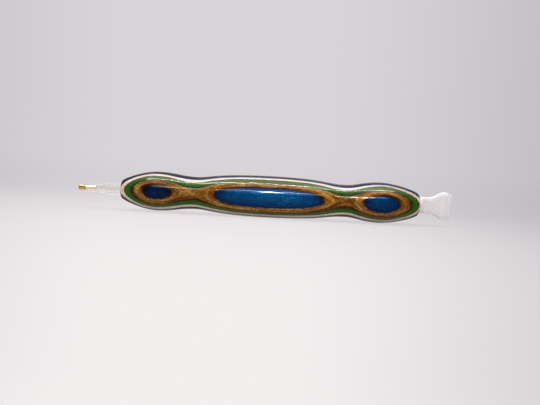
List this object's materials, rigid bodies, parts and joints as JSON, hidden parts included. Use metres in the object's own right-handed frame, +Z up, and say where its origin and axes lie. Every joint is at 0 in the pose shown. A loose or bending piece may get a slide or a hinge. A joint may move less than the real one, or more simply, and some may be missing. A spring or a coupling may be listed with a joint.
{
  "type": "diamond painting pen",
  "caption": "Hand-turned laminated wood pen for diamond painting, with a brass single placer in a clear insert at one end and a flared white multi-placer at the other.",
  "frame": {"origin": "on the surface the pen lies on, below the middle of its overall length", "axes": "+X along the pen towards the multi-placer, -Y towards the first veneer and the camera, +Z up"},
  "size_m": [0.1616, 0.018, 0.0179],
  "materials": {
    "blue_wood": "gloss lacquer over dyed veneer",
    "brown_wood": "gloss lacquer over dyed veneer",
    "green_wood": "gloss lacquer over dyed veneer",
    "cream_wood": "gloss lacquer over natural veneer",
    "clear_plastic": "clear, glossy",
    "brass": "turned and polished",
    "white_plastic": "slightly translucent, satin"
  },
  "bodies": {
    "handle": {"ply_01_blue_front": "blue_wood", "ply_01_blue_middle": "blue_wood", "ply_01_blue_rear": "blue_wood", "ply_02_brown": "brown_wood", "ply_03_green": "green_wood", "ply_04_cream": "cream_wood", "ply_05_blue": "blue_wood", "ply_06_brown": "brown_wood", "ply_07_green": "green_wood", "ply_08_cream": "cream_wood", "ply_09_blue": "blue_wood", "ply_10_brown": "brown_wood", "ply_11_green": "green_wood", "ply_12_cream": "cream_wood", "ply_13_blue_front": "blue_wood", "ply_13_blue_middle": "blue_wood", "ply_13_blue_rear": "blue_wood"},
    "insert": {"clear_insert": "clear_plastic"},
    "tip": {"brass_tip": "brass"},
    "placer": {"multi_placer": "white_plastic"}
  },
  "joints": [
    {"name": "insert_pull", "type": "slide", "parent": "handle", "child": "insert", "axis": [-1, 0, 0], "range_m": [0, 0.016]},
    {"name": "tip_pull", "type": "slide", "parent": "insert", "child": "tip", "axis": [-1, 0, 0], "range_m": [0, 0.006]},
    {"name": "placer_pull", "type": "slide", "parent": "handle", "child": "placer", "axis": [1, 0, 0], "range_m": [0, 0.016]}
  ]
}
